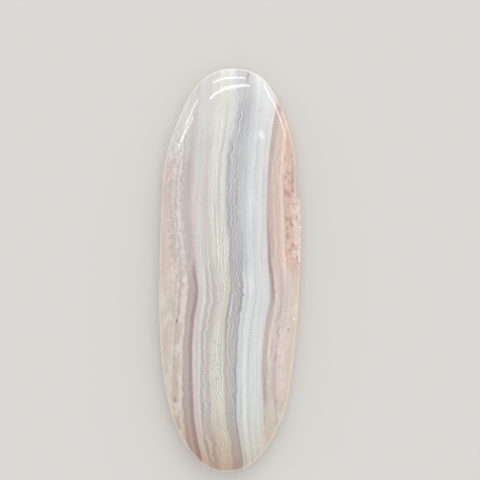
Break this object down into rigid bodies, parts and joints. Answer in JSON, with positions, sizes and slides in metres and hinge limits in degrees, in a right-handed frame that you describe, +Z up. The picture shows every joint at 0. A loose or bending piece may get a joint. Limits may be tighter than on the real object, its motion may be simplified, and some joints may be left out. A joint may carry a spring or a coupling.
{
  "type": "chalcedony cabochon",
  "caption": "Long oval polished cabochon of pale banded chalcedony with a low dome and a flat back to rest on or set.",
  "frame": {"origin": "on the surface the stone rests on, under the middle of its length and width", "axes": "+X across the stone, +Y along its length, +Z up out of the dome"},
  "size_m": [0.016, 0.046, 0.0048],
  "materials": {
    "chalcedony": "high polish, milky and slightly translucent, with fine bands along its length"
  },
  "bodies": {
    "root": {"cabochon": "chalcedony"}
  },
  "joints": []
}
